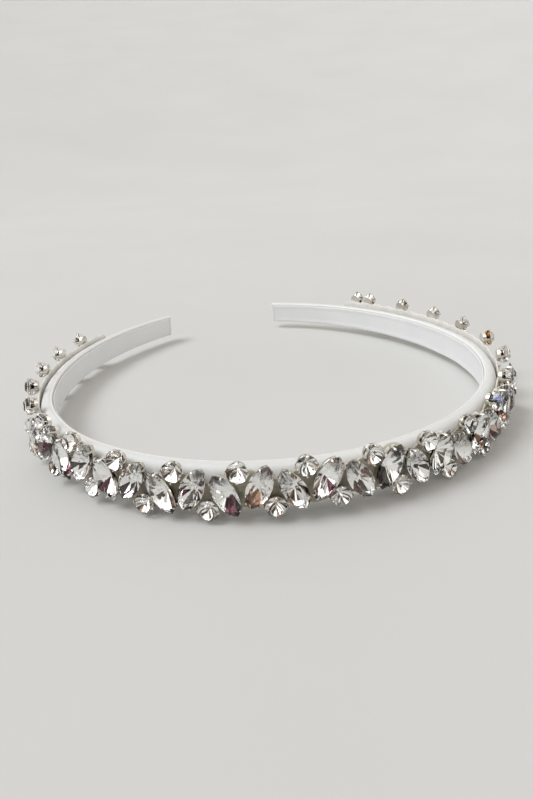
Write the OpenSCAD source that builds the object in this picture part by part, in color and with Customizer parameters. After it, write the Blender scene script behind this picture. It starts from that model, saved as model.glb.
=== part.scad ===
// Rhinestone headband lying on its edge.
// X runs across the head, Y from the crown to the tips, Z up from the surface it rests on.
// The origin is at the bottom, in the middle of the outer box.

/* [Curve of the band] */
// Radius of the crown's inner face
crown_r = 70; // [66:0.5:76]
// Angle that half of the crown turns through
crown_angle = 48; // [44:1:52]
// Radius of the side's inner face
side_r = 63; // [60:0.5:68]
// Angle that a side turns through
side_angle = 42; // [38:1:46]
// Radius of the arm's inner face
arm_r = 86; // [80:1:92]
// Angle that an arm turns through up to its tip
arm_angle = 62; // [54:1:64]
// Angle by which the sides and the arms lean, with their lower edge out
side_lean = 8; // [0:0.5:10]
// Distance from the crown's middle at which the lean is reached
lean_full = 100; // [80:5:120]

/* [Band] */
// Width of the band at the crown
band_w = 10.8; // [9:0.1:12]
// Share of the width that is lost at the tips
band_taper = 0.2; // [0:0.01:0.3]
// Share of the half length at which the band begins to taper
taper_start = 0.45; // [0.2:0.05:0.6]
// Thickness of the band in the middle of its width
band_t = 3.6; // [2.8:0.1:3.8]
// Radius of the two inner corners of the band
band_corner = 0.5; // [0.2:0.1:0.8]
// Thickness of the lining ribbon
lining_t = 0.45; // [0.3:0.05:0.8]
// Distance of the lining's edge from the band's edge
lining_inset = 0.7; // [0.5:0.1:1.5]
// Distance of the lining's ends from the tips
lining_end = 1.5; // [0.5:0.5:5]

/* [Backing strip] */
// Thickness of the strip that carries the settings
backing_t = 0.5; // [0.3:0.05:0.8]
// Reach of the strip below the middle of the trim at the front
backing_down_front = 6.2; // [4:0.1:6.6]
// Reach of the strip below the middle of the trim on the arms
backing_down_arm = 5.2; // [4:0.1:6]
// Mean reach of the strip above the middle of the trim at the front
backing_up_front = 1.9; // [1.5:0.1:3]
// Height by which its upper edge rises behind the upper stones and dips between them at the front
scallop_h = 1.5; // [0:0.1:1.8]
// Reach of the strip above the middle of the trim on the arms
backing_up_arm = 4.2; // [4:0.1:5]
// Distance of the strip's raised lobe from the crown's middle, measured along the inner face
lobe_s = 10.9; // [0:0.1:14]
// Height of the lobe's top above the band's lower edge
lobe_top = 11.4; // [9:0.1:11.8]
// Width of the lobe
lobe_w = 8.6; // [6:0.1:12]
// Distance by which the lobe's top leans back over the band
lobe_back = 1.6; // [0:0.1:1.6]

/* [Layout of the stones] */
// Spacing of the navettes, measured along the band's inner face
stone_pitch = 7.05; // [7:0.01:7.6]
// Number of navettes
navette_count = 22; // [22:2:22]
// Distance of the middle navettes from the crown's middle, measured along the inner face
trim_shift = -9.2; // [-10:0.1:0]
// Spacing of the round stones on the left arm
arm_pitch_left = 7.3; // [7:0.1:7.6]
// Spacing of the round stones on the right arm
arm_pitch_right = 7.8; // [7:0.1:8]
// Number of round stones on the left arm
arm_count_left = 12; // [10:1:12]
// Number of round stones on the right arm, with the twin that ends it
arm_count_right = 15; // [11:2:15]
// Spacing of the last two stones on the right arm, which sit side by side
twin_pitch = 5.7; // [5.5:0.1:7]
// Length of bare strip past the last stone
strip_past = 5.5; // [3.5:0.5:8]
// Height of the lowest middle of a lower round stone
row_floor = 3.1; // [3.05:0.05:3.5]
// Height of the trim's middle above the band's lower edge on the left arm
trim_arm_left = 6.6; // [6:0.1:7.4]
// Height of the trim's middle above the band's lower edge on the right arm
trim_arm_right = 7.2; // [6:0.1:7.4]
// Mean height of the trim's middle above the band's lower edge at the front
trim_front = 6.9; // [6.4:0.1:7.2]
// Height by which the hand-sewn trim waves up and down at the front
wave_h = 0.9; // [0:0.1:1]
// Length of one wave of the trim
wave_len = 72; // [60:1:90]
// Distance of the wave's top from the crown's middle, measured along the inner face
wave_top = -3; // [-10:1:5]
// Height of the upper round stones above the middle of the trim on the arms
row_up = 4.9; // [4.6:0.1:5.4]
// Depth of the lower round stones below the middle of the trim on the arms
row_down = 4.7; // [4.4:0.1:5]
// Gap between a round stone and the two navettes that it nests against, which leaves room for claws
nest_gap = 0.45; // [0.3:0.05:1]
// Depth of the navettes' middles below the middle of the trim
navette_drop = 0.3; // [0:0.1:0.6]
// Height by which navettes that lean right sit above those that lean left
navette_step = 1.5; // [0:0.1:1.6]
// Angle by which each navette leans less than its place in the zigzag gives it
lean_less = 0; // [0:1:6]

/* [Stones] */
// Length of a navette stone
navette_l = 11.6; // [10.5:0.1:11.8]
// Width of a navette stone
navette_w = 5.7; // [5:0.1:5.8]
// Length that the blunt end takes off each point of a navette
navette_tip = 0.5; // [0.2:0.1:0.8]
// Depth of a navette's pavilion below the girdle
navette_pavilion = 2; // [1.4:0.1:2.1]
// Height of a navette's crown above the girdle
navette_crown = 1.6; // [1:0.1:1.9]
// Diameter of a round stone
round_d = 5; // [4.4:0.1:5.1]
// Depth of a round stone's pavilion below the girdle
round_pavilion = 1.6; // [1.2:0.1:1.7]
// Height of a round stone's crown above the girdle
round_crown = 1.4; // [1:0.1:1.7]
// Thickness of the girdle
stone_girdle = 0.3; // [0.1:0.05:0.4]
// Width of the table as a share of the stone's width
table_share = 0.52; // [0.4:0.02:0.6]
// Width of a navette's keel as a share of the stone's width
keel_width_share = 0.1; // [0.06:0.02:0.2]
// Length of a navette's keel as a share of the stone's length
keel_length_share = 0.16; // [0.1:0.02:0.6]

/* [Settings] */
// Height of a navette's girdle above its setting's base
navette_seat = 2.6; // [2.5:0.05:3]
// Height of a round stone's girdle above its setting's base
round_seat = 2.2; // [2.1:0.05:2.6]
// Thickness of a setting's floor
floor_t = 0.4; // [0.3:0.05:0.5]
// Thickness of a setting's wall
wall_t = 0.25; // [0.2:0.05:0.3]
// Height of a setting's wall, above which its sides are open
wall_h = 1.1; // [0.8:0.05:1.3]
// Distance of the wall inside the stone's edge
wall_inset = 0.6; // [0.5:0.05:0.8]
// Clearance between a stone and its claws
stone_gap = 0.1; // [0.1:0.01:0.15]
// Width of a claw
claw_w = 0.7; // [0.6:0.05:1]
// Thickness of a claw
claw_t = 0.3; // [0.25:0.05:0.4]
// Height of a claw's hook above the girdle's upper edge
claw_rise = 0.55; // [0.55:0.05:0.9]
// Reach of a claw's hook over the stone
claw_reach = 0.3; // [0.1:0.05:0.35]
// Distance of a claw's foot inside the stone's edge
claw_foot = 1; // [0.8:0.1:1.2]
// Turn of a round setting's claws away from the band's length
claw_turn = 87; // [60:1:90]
// Share of the navette's half length at which its claws stand
claw_place = 0.76; // [0.5:0.02:0.8]

/* [Hidden] */

// Lean of each navette from the left, as sewn. A positive lean tips its top to the left.
leans = [27, -20, 28, -25, 25, -31, 29, -26, 26, -24, 29, -29, 28, -25, 29, -22, 29, -25, 25, -22, 29, -23];

$fn = 48;
layer_gap = 0.1;
crown_len = crown_r * crown_angle * PI / 180;
side_len = side_r * side_angle * PI / 180;
arm_len = arm_r * arm_angle * PI / 180;
half_len = crown_len + side_len + arm_len;
round_r = round_d / 2;
round_count = 18;

// Round stones sit in the gaps between navettes and go on along the arms. Gap k follows navette k,
// both counted from 0 at the left, and gaps 1 to 18 hold the round stones that are nodes of their own.
gap_first = 1;
gap_last = gap_first + round_count - 1;
gap_middle = gap_first + round_count / 2;
gap_end_left = gap_first - arm_count_left;
gap_end_right = gap_last + arm_count_right;
nest_last = navette_count - 2;

// Layers, measured outward from the band's inner face
backing_in = band_t + layer_gap;
backing_out = backing_in + backing_t;
setting_base = backing_out + layer_gap;
stone_top = setting_base + navette_seat + stone_girdle + navette_crown;
round_top = setting_base + round_seat + stone_girdle + round_crown;

// Half of the navettes' run, and the length in which the front's layout turns into the arms'
navette_run = stone_pitch * (navette_count - 1) / 2;
fade_len = 25;

// Outline of a navette as half length, half width and radius of its two arcs, which would meet
// beyond its blunt ends. A line inside or outside it moves further at the points than at the sides.
point_stretch = 1.6;
nav_a = navette_l / 2 + navette_tip;
nav_b = navette_w / 2;
function oval_r(a, b) = (a * a + b * b) / (2 * b);
nav_r = oval_r(nav_a, nav_b);

// Radius and heading of the curve at distance s along half of the inner face
function bend_r(s) = s < crown_len ? crown_r : s < crown_len + side_len ? side_r : arm_r;
function turn(s) =
    s < crown_len ? s / crown_r * 180 / PI
    : s < crown_len + side_len ? crown_angle + (s - crown_len) / side_r * 180 / PI
    : crown_angle + side_angle + (s - crown_len - side_len) / arm_r * 180 / PI;

// End of an arc of radius r that starts at p with heading h and turns by a
function arc_end(p, r, h, a) = p + r * [sin(h + a) - sin(h), cos(h) - cos(h + a)];

function side_start() = arc_end([0, 0], crown_r, 0, crown_angle);
function arm_start() = arc_end(side_start(), side_r, crown_angle, side_angle);

// Point of the inner face at distance s from the crown's middle, on the right half
function half_point(s) =
    let (h = turn(s))
    s < crown_len ? arc_end([0, 0], crown_r, 0, h)
    : s < crown_len + side_len ? arc_end(side_start(), side_r, crown_angle, h - crown_angle)
    : arc_end(arm_start(), arm_r, crown_angle + side_angle, h - crown_angle - side_angle);

// The same on both halves, where s runs from the left tip to the right tip
function heading(s) = sign(s) * turn(abs(s));
function inner_point(s) = let (p = half_point(abs(s))) [(s < 0 ? -1 : 1) * p.x, p.y];
function outward(s) = [sin(heading(s)), -cos(heading(s))];
function place(s, out) = inner_point(s) + out * outward(s);

// Share of the arm's layout at distance s: 0 at the front, 1 on the arms
function arm_share(s) = let (u = (abs(s - trim_shift) - navette_run) / fade_len) max(0, min(1, u));

// Height of the middle of the trim above the band's lower edge
function trim_rise(s) =
    let (front = trim_front + wave_h * cos(360 * (s - wave_top) / wave_len))
    let (u = arm_share(s))
    front * (1 - u) + (s < 0 ? trim_arm_left : trim_arm_right) * u;

// Navette k: distance along the band, height above the band's lower edge, and lean
function navette_s(k) = trim_shift + stone_pitch * (k - (navette_count - 1) / 2);
function navette_rise(k) =
    trim_rise(navette_s(k)) - navette_drop + (k % 2 == 0 ? -1 : 1) * navette_step / 2;
function lean(k) = leans[k] - sign(leans[k]) * lean_less;

// Middle of the arc that bounds navette k on the side that faces the gap, seen from that gap
function flank(k, side, pitch) =
    [-side * pitch / 2, navette_rise(k)] - side * (nav_r - nav_b) * [cos(lean(k)), sin(lean(k))];

// The round stone in gap k touches neither neighbour and is equally near to both.
// Its place is [distance along the band from the gap's middle, height above the band's lower edge].
function nest(k) =
    let (spread = 1 + setting_base / bend_r(abs(navette_s(k) + stone_pitch / 2)))
    let (a = flank(k, 1, stone_pitch * spread))
    let (b = flank(k + 1, -1, stone_pitch * spread))
    let (half = norm(b - a) / 2)
    let (reach = nav_r + round_r + nest_gap)
    let (up = (is_upper(k) ? 1 : -1) * sqrt(reach * reach - half * half) / (2 * half))
    let (p = (a + b) / 2 + up * [a.y - b.y, b.x - a.x])
    [p.x / spread, p.y];

// The gap after navette k is open at the top where k is even, and the twin at the end is up there too
function is_upper(k) = k % 2 == 0 || k == gap_end_right;
function is_nested(k) = k >= 0 && k <= nest_last;
function gap_s(k) =
    is_nested(k) ? navette_s(k) + stone_pitch / 2 + nest(k)[0]
    : k < 0 ? navette_s(0) + stone_pitch / 2 + arm_pitch_left * k
    : navette_s(nest_last) + stone_pitch / 2 + arm_pitch_right * (min(k, gap_end_right - 1) - nest_last)
        + (k == gap_end_right ? twin_pitch : 0);
function gap_rise(k) =
    is_nested(k) ? nest(k)[1]
    : trim_rise(gap_s(k)) + (is_upper(k) ? row_up : -row_down);
function trim_end_left() = gap_s(gap_end_left) - strip_past;
function trim_end_right() = gap_s(gap_end_right) + strip_past;

// Lean of the band's face at distance s, which grows smoothly from the crown's middle
function face_lean(s) = side_lean * (1 - cos(180 * min(1, abs(s) / lean_full))) / 2;

// A point of the section at distance s after its lean, which turns the section about the upper edge
// of the inner face. Points are [distance out, height above the band's lower edge].
function leant(s, q) =
    let (a = face_lean(s))
    let (up = q[1] - band_w)
    [q[0] * cos(a) - up * sin(a), band_w + q[0] * sin(a) + up * cos(a)];

// Height of the band's lower edge above the surface that the headband rests on
function stone_rise(k) = leant(gap_s(k), [setting_base + round_seat, gap_rise(k)])[1];
band_low = row_floor - min([for (k = [gap_end_left:gap_end_right]) stone_rise(k)]);

// A solid swept through closed sections of equal point count
module sweep(rings) {
    n = len(rings[0]);
    m = len(rings);
    sides = [for (i = [0:m - 2], j = [0:n - 1])
        [i * n + j, i * n + (j + 1) % n, (i + 1) * n + (j + 1) % n, (i + 1) * n + j]];
    first = [for (j = [n - 1:-1:0]) j];
    last = [for (j = [0:n - 1]) (m - 1) * n + j];
    polyhedron(points = [for (r = rings, p = r) p], faces = concat([first], sides, [last]), convexity = 10);
}

// A section at distance s in its place, from its points
function ring(s, section) =
    [for (q = section) let (w = leant(s, q)) let (p = place(s, w[0]))
        [p.x, p.y - centre_y, band_low + w[1]]];

// Distances along the band from a to b in n even steps
function steps(a, b, n) = [for (i = [0:n]) a + (b - a) * i / n];
band_steps = 84;
strip_steps = 170;

// Half of the band's width at distance s, narrower towards the tips
function band_half(s) =
    let (u = max(0, (abs(s) / half_len - taper_start) / (1 - taper_start)))
    band_w / 2 * (1 - band_taper * u);

// Domed outer face as a superellipse, with a flat inner face and rounded inner corners
dome_power = 3.2;
dome_steps = 6;
dome_end = 82;
function dome(v) = band_t * pow(max(0, 1 - pow(abs(v), dome_power)), 1 / dome_power);
function dome_side(h) =
    [for (i = [1:dome_steps]) let (v = sin(dome_end * i / dome_steps)) [dome(v), h * v]];
function band_section(s) =
    let (h = band_half(s))
    let (side = dome_side(h))
    let (upper = concat([[band_t, 0]], side, [[band_corner, h], [0, h - band_corner]]))
    let (lower = [for (i = [len(upper) - 1:-1:1]) [upper[i][0], -upper[i][1]]])
    [for (q = concat(upper, lower)) [q[0], band_w / 2 + q[1]]];

// The outer box runs from the stones at the crown to the band near the tips
tip_reach = 30;
band_back = max([for (s = [half_len - tip_reach:0.5:half_len], q = band_section(s))
    place(s, leant(s, q)[0]).y]);
centre_y = (band_back - stone_top) / 2;

// Ribbon on the inner face, with softly rounded edges
function lining_section(s) =
    let (h = band_half(s) - lining_inset)
    let (edge = lining_t / 2)
    let (near = -layer_gap)
    let (far = -layer_gap - lining_t)
    [for (q = [[near, -h + edge], [near, h - edge], [near - edge, h], [far, h - edge],
               [far, -h + edge], [near - edge, -h]])
        [q[0], band_w / 2 + q[1]]];

// Strip behind the settings, with its two ends rounded off
end_round = 4;
end_width = 0.35;
end_places = [0, 0.08, 0.3, 0.6];
function end_share(s) =
    let (left = s - trim_end_left())
    let (right = trim_end_right() - s)
    let (d = min(1, max(0, min(left, right)) / end_round))
    end_width + (1 - end_width) * sqrt(1 - (1 - d) * (1 - d));

// Its upper edge at the front: a scallop that rises behind each upper stone, and the lobe
function scallop(s) =
    backing_up_front + scallop_h * cos(180 * (s - navette_s(0) - stone_pitch / 2) / stone_pitch);
function lobe(s) = let (d = (s - lobe_s) / (lobe_w / 2)) sqrt(max(0, 1 - d * d));

// Above its bend the strip leans back as the lobe does
bend_h = 8.8;
function backing_section(s) =
    let (mid = trim_rise(s))
    let (u = arm_share(s))
    let (up = scallop(s) * (1 - u) + backing_up_arm * u)
    let (down = backing_down_front * (1 - u) + backing_down_arm * u)
    let (k = end_share(s))
    let (z1 = mid - down * k)
    let (z2 = max(mid + up * k, mid + (lobe_top - mid) * lobe(s)))
    let (bend = min(z2 - 0.3, bend_h))
    let (back = lobe(s) > 0 ? lobe_back * max(0, z2 - bend - 0.3) / (lobe_top - bend_h - 0.3) : 0)
    [[backing_in - back, z2], [backing_in, bend], [backing_in, z1],
     [backing_out, z1], [backing_out, bend], [backing_out - back, z2]];

// Children stand on the trim at distance s and a rise above the band's lower edge, their Z outward
// and their Y up
module seat(s, rise) {
    w = leant(s, [setting_base, rise]);
    p = place(s, w[0]);
    translate([p.x, p.y - centre_y, band_low + w[1]])
        rotate([0, 0, heading(s)]) rotate([90 - face_lean(s), 0, 0]) children();
}

module at_navette(k) {
    seat(navette_s(k), navette_rise(k)) rotate([0, 0, lean(k)]) children();
}

module at_gap(k) {
    seat(gap_s(k), gap_rise(k)) children();
}

// Points of a navette's outline: n steps along each side, and a blunt end between the sides
function oval(n) =
    let (t = asin(navette_l / 2 / nav_r))
    let (turns = [for (i = [0:n]) t - 2 * t * i / n])
    let (side = [for (u = turns) [nav_r * (cos(u) - 1) + nav_b, nav_r * sin(u)]])
    concat(side, -side);

// Navette: a keel, a girdle and a table of one outline, with 12 facets between each two of them
navette_steps = 5;
module navette_stone() {
    outline = oval(navette_steps);
    // Width share, length share and height above the keel
    levels = [
        [keel_width_share, keel_length_share, 0],
        [1, 1, navette_pavilion],
        [1, 1, navette_pavilion + stone_girdle],
        [table_share, table_share, navette_pavilion + stone_girdle + navette_crown]
    ];
    color("aliceblue") translate([0, 0, navette_seat - navette_pavilion])
        sweep([for (v = levels) [for (q = outline) [q.x * v[0], q.y * v[1], v[2]]]]);
}

// Round stone: table of 8, girdle of 16 and star, kite and pavilion facets between them
module round_stone() {
    low = round_seat;
    high = low + stone_girdle;
    top = high + round_crown;
    girdle = [for (i = [0:15]) round_r * [cos(22.5 * i), sin(22.5 * i)]];
    table = [for (i = [0:7]) round_r * table_share * [cos(45 * i), sin(45 * i)]];
    points = concat(
        [for (q = girdle) [q.x, q.y, low]],
        [for (q = girdle) [q.x, q.y, high]],
        [for (q = table) [q.x, q.y, top]],
        [[0, 0, low - round_pavilion]]
    );
    pavilion = [for (i = [0:15]) [40, (i + 1) % 16, i]];
    rim = [for (i = [0:15]) [i, (i + 1) % 16, 16 + (i + 1) % 16, 16 + i]];
    star = [for (i = [0:7]) [32 + i, 16 + 2 * i + 1, 32 + (i + 1) % 8]];
    kite = [for (i = [0:7], side = [0, 1])
        side == 0 ? [32 + i, 16 + 2 * i, 16 + 2 * i + 1] : [32 + i, 16 + (2 * i + 15) % 16, 16 + 2 * i]];
    flat = [[for (i = [0:7]) 32 + i]];
    faces = concat(pavilion, rim, star, kite, flat);
    color("aliceblue")
        polyhedron(points = points, faces = [for (f = faces) [for (i = [len(f) - 1:-1:0]) f[i]]]);
}

// A claw whose foot stands on the floor, which leans out to the stone's edge at X 0 and hooks over
// the stone towards -X
module claw(seat_h) {
    knee = seat_h - claw_t;
    hook = seat_h + stone_girdle + claw_rise;
    near = stone_gap;
    far = stone_gap + claw_t;
    profile = [
        [-claw_foot - claw_t, 0], [-claw_foot + claw_t, 0], [far, knee], [far, hook + claw_t],
        [-claw_reach, hook + claw_t], [-claw_reach, hook], [near, hook], [near, knee],
        [-claw_foot - claw_t, floor_t]
    ];
    rotate([90, 0, 0]) translate([0, 0, -claw_w / 2]) linear_extrude(claw_w) polygon(profile);
}

// Open setting of a round stone: a low cup with four claws
module round_setting() {
    r = round_r - wall_inset;
    color("silver") {
        difference() {
            cylinder(r = r, h = wall_h);
            translate([0, 0, floor_t]) cylinder(r = r - wall_t, h = wall_h);
        }
        for (i = [0:3]) rotate([0, 0, claw_turn + 90 * i]) translate([round_r, 0, 0]) claw(round_seat);
    }
}

// A plate of pointed oval outline, bounded by two true arcs, set in from a navette's outline
module oval_plate(inset, h) {
    a = nav_a - inset * point_stretch;
    b = nav_b - inset;
    r = oval_r(a, b);
    linear_extrude(h) intersection() {
        translate([b - r, 0]) circle(r = r, $fn = 96);
        translate([r - b, 0]) circle(r = r, $fn = 96);
    }
}

// Open setting of a navette: a low cup with four claws on its long sides
module navette_setting() {
    t = asin(claw_place * navette_l / 2 / nav_r);
    color("silver") {
        difference() {
            oval_plate(wall_inset, wall_h);
            translate([0, 0, floor_t]) oval_plate(wall_inset + wall_t, wall_h);
        }
        for (x = [0, 1], y = [-1, 1])
            mirror([x, 0, 0]) translate([nav_b - nav_r, 0, 0]) rotate([0, 0, y * t])
                translate([nav_r, 0, 0]) claw(navette_seat);
    }
}

module band() {
    color("white") sweep([for (s = steps(-half_len, half_len, band_steps)) ring(s, band_section(s))]);
}

module lining() {
    end = half_len - lining_end;
    color("whitesmoke") sweep([for (s = steps(-end, end, band_steps)) ring(s, lining_section(s))]);
}

module trim_backing() {
    inner = steps(trim_end_left() + end_round, trim_end_right() - end_round, strip_steps);
    places = concat(
        [for (u = end_places) trim_end_left() + end_round * u],
        inner,
        [for (i = [len(end_places) - 1:-1:0]) trim_end_right() - end_round * end_places[i]]
    );
    color("wheat") sweep([for (s = places) ring(s, backing_section(s))]);
}

module navette(k) {
    at_navette(k - 1) navette_stone();
}

module round(k) {
    at_gap(gap_first + k - 1) round_stone();
}

module arm_stones_left() {
    for (k = [gap_end_left:gap_first - 1]) at_gap(k) round_stone();
}

module arm_stones_right() {
    for (k = [gap_last + 1:gap_end_right]) at_gap(k) round_stone();
}

module navette_settings_left() {
    for (k = [0:navette_count / 2 - 1]) at_navette(k) navette_setting();
}

module navette_settings_right() {
    for (k = [navette_count / 2:navette_count - 1]) at_navette(k) navette_setting();
}

module round_settings_left() {
    for (k = [gap_first:gap_middle - 1]) at_gap(k) round_setting();
}

module round_settings_right() {
    for (k = [gap_middle:gap_last]) at_gap(k) round_setting();
}

module arm_settings_left() {
    for (k = [gap_end_left:gap_first - 1]) at_gap(k) round_setting();
}

module arm_settings_right() {
    for (k = [gap_last + 1:gap_end_right]) at_gap(k) round_setting();
}

band();
lining();
trim_backing();
for (k = [1:22]) navette(k);
for (k = [1:18]) round(k);
arm_stones_left();
arm_stones_right();
navette_settings_left();
navette_settings_right();
round_settings_left();
round_settings_right();
arm_settings_left();
arm_settings_right();
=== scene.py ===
import math
import random

import bmesh
import bpy
import numpy as np
from mathutils import Matrix, Vector


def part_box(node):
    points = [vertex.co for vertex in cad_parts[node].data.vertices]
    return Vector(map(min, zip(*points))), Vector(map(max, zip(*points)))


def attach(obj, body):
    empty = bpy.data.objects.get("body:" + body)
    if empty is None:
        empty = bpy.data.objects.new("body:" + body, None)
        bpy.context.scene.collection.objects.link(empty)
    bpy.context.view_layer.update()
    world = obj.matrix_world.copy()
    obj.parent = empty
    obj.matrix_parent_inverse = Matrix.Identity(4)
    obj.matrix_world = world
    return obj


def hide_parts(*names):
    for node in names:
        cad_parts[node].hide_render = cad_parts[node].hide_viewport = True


# Looks of a rhinestone headband that lies on its edge, in the part's own frame: X across the head,
# Y from the crown to the tips, Z up. Lengths are in millimetres unless a comment says otherwise, and
# meshes are turned into metres when they are made.

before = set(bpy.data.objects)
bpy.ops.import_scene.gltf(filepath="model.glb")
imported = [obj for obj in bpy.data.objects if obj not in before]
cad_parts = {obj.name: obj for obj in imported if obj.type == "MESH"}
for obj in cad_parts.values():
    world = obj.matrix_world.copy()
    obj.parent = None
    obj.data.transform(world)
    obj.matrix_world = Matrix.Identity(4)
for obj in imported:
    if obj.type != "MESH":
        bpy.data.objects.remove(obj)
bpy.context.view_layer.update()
MM = 0.001

# Band and lining

CROWN_R, CROWN_TURN = 70.0, math.radians(48)
SIDE_R, SIDE_TURN = 63.0, math.radians(42)
ARM_R, ARM_TURN = 86.0, math.radians(62)
CROWN_LEN = CROWN_R * CROWN_TURN
SIDE_LEN = SIDE_R * SIDE_TURN
HALF_LEN = CROWN_LEN + SIDE_LEN + ARM_R * ARM_TURN
SIDE_LEAN, LEAN_FULL = math.radians(8), 100

BAND_W, BAND_T = 10.8, 3.6
BAND_TAPER, TAPER_START = 0.2, 0.45
BAND_CORNER = 0.5
DOME_POWER, DOME_END = 3.2, math.radians(82)
LINING_T, LINING_INSET, LINING_END = 0.45, 0.7, 1.5

# The band's first point in Y and its lowest point both lie at the crown, where it doesn't lean
band_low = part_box("band")[0]
CENTRE_Y = -band_low[1] / MM - BAND_T
BAND_LOW = band_low[2] / MM
BAND_MID = BAND_LOW + BAND_W / 2

# Backing strip

LAYER_GAP = 0.1
BACKING_T = 0.5
BACKING_DOWN_FRONT, BACKING_DOWN_ARM = 6.2, 5.2
BACKING_UP_FRONT, BACKING_UP_ARM, SCALLOP_H = 1.9, 4.2, 1.5
LOBE_S, LOBE_TOP, LOBE_W, LOBE_BACK, BEND_H = 10.9, 11.4, 8.6, 1.6, 8.8
STRIP_PAST = 5.5
BACKING_IN = BAND_T + LAYER_GAP
BACKING_OUT = BACKING_IN + BACKING_T
SETTING_BASE = BACKING_OUT + LAYER_GAP

# Layout of the stones. Gap k lies between navettes k and k + 1, and the arms' stones go on from there

PITCH, NAVETTES, TRIM_SHIFT = 7.05, 22, -9.2
ARM_PITCH_LEFT, ARM_PITCH_RIGHT, TWIN_PITCH = 7.3, 7.8, 5.7
GAP_FIRST, GAP_LAST, GAP_END_LEFT, GAP_END_RIGHT = 1, 18, -11, 33
TRIM_ARM_LEFT, TRIM_ARM_RIGHT, TRIM_FRONT = 6.6, 7.2, 6.9
WAVE_H, WAVE_LEN, WAVE_TOP = 0.9, 72, -3
ROW_UP, ROW_DOWN = 4.9, 4.7
NEST_GAP, NAVETTE_DROP, NAVETTE_STEP = 0.45, 0.3, 1.5
# Leans of the navettes in degrees, from left to right
LEANS = [27, -20, 28, -25, 25, -31, 29, -26, 26, -24, 29,
         -29, 28, -25, 29, -22, 29, -25, 25, -22, 29, -23]
FADE_LEN = 25

# Stones and settings

NAVETTE_L, NAVETTE_W, NAVETTE_TIP = 11.6, 5.7, 0.5
NAVETTE_PAVILION, NAVETTE_CROWN, NAVETTE_SEAT = 2.0, 1.6, 2.6
ROUND_D, ROUND_PAVILION, ROUND_CROWN, ROUND_SEAT = 5.0, 1.6, 1.4, 2.2
GIRDLE, TABLE_SHARE = 0.3, 0.52
FLOOR_T, WALL_T, WALL_H, WALL_INSET = 0.4, 0.25, 1.1, 0.6
STONE_GAP, POINT_STRETCH = 0.1, 1.6
# Turn of a round cup's claws in degrees, and how far along a navette's half length its claws stand
CLAW_TURN, CLAW_PLACE = 87, 0.76

# Half length, half width and side radius of a navette whose points aren't blunted
NAV_A, NAV_B = NAVETTE_L / 2 + NAVETTE_TIP, NAVETTE_W / 2
NAV_R = (NAV_A ** 2 + NAV_B ** 2) / (2 * NAV_B)


# Places on the band. Distances s go along its inner face from the crown's middle, negative to the left

def arc_end(p, r, h, a):
    """End of an arc of radius r that starts at p with heading h and turns by a."""
    return p + r * np.array([math.sin(h + a) - math.sin(h), math.cos(h) - math.cos(h + a)])


SIDE_START = arc_end(np.zeros(2), CROWN_R, 0, CROWN_TURN)
ARM_START = arc_end(SIDE_START, SIDE_R, CROWN_TURN, SIDE_TURN)


def heading(s):
    """Heading of the band at distance s, in radians."""
    d = abs(s)
    if d < CROWN_LEN:
        h = d / CROWN_R
    elif d < CROWN_LEN + SIDE_LEN:
        h = CROWN_TURN + (d - CROWN_LEN) / SIDE_R
    else:
        h = CROWN_TURN + SIDE_TURN + (d - CROWN_LEN - SIDE_LEN) / ARM_R
    return math.copysign(h, s)


def bend_r(d):
    """Radius of the band's inner face at distance d on either side."""
    return CROWN_R if d < CROWN_LEN else SIDE_R if d < CROWN_LEN + SIDE_LEN else ARM_R


def face_lean(s):
    """Lean of the band's face at distance s in radians, with its lower edge out."""
    return SIDE_LEAN * (1 - math.cos(math.pi * min(1, abs(s) / LEAN_FULL))) / 2


def place(s, out, z):
    """Point at distance s, out from the band's inner face and at height z before the lean.

    The lean turns it about the upper edge of the inner face.
    """
    a, edge = face_lean(s), BAND_LOW + BAND_W
    up = z - edge
    out, z = out * math.cos(a) - up * math.sin(a), edge + out * math.sin(a) + up * math.cos(a)
    d, h = abs(s), abs(heading(s))
    if d < CROWN_LEN:
        p = arc_end(np.zeros(2), CROWN_R, 0, h)
    elif d < CROWN_LEN + SIDE_LEN:
        p = arc_end(SIDE_START, SIDE_R, CROWN_TURN, h - CROWN_TURN)
    else:
        p = arc_end(ARM_START, ARM_R, CROWN_TURN + SIDE_TURN, h - CROWN_TURN - SIDE_TURN)
    x, y = p[0] + out * math.sin(h), p[1] - out * math.cos(h)
    return [math.copysign(1, s) * x, y - CENTRE_Y, z]


def seat(s, z, tip=0.0):
    """Axes and origin of a setting: X along the band, Y up, Z outward, turned by tip about Z."""
    h, a = heading(s), face_lean(s)
    outward, upright = np.array([math.sin(h), -math.cos(h), 0]), np.array([0, 0, 1])
    flat = np.array([[math.cos(h), math.sin(h), 0],
                     upright * math.cos(a) - outward * math.sin(a),
                     outward * math.cos(a) + upright * math.sin(a)])
    c, n = math.cos(tip), math.sin(tip)
    return np.array([[c, n, 0], [-n, c, 0], [0, 0, 1]]) @ flat, np.array(place(s, SETTING_BASE, z))


def arm_share(s):
    """Share of the arm's layout at distance s: 0 at the front, 1 on the arms."""
    run = PITCH * (NAVETTES - 1) / 2
    return min(1, max(0, (abs(s - TRIM_SHIFT) - run) / FADE_LEN))


def trim_rise(s):
    """Height of the middle of the trim over the band's lower edge at distance s."""
    front = TRIM_FRONT + WAVE_H * math.cos(2 * math.pi * (s - WAVE_TOP) / WAVE_LEN)
    u = arm_share(s)
    return front * (1 - u) + (TRIM_ARM_LEFT if s < 0 else TRIM_ARM_RIGHT) * u


def navette_s(k):
    """Distance along the band of the middle of navette k."""
    return TRIM_SHIFT + PITCH * (k - (NAVETTES - 1) / 2)


def navette_rise(k):
    """Height of the middle of navette k over the band's lower edge."""
    return trim_rise(navette_s(k)) - NAVETTE_DROP + (-1 if k % 2 == 0 else 1) * NAVETTE_STEP / 2


def lean(k):
    """Lean of navette k in radians. A positive lean tips its top to the left."""
    return math.radians(LEANS[k])


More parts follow.
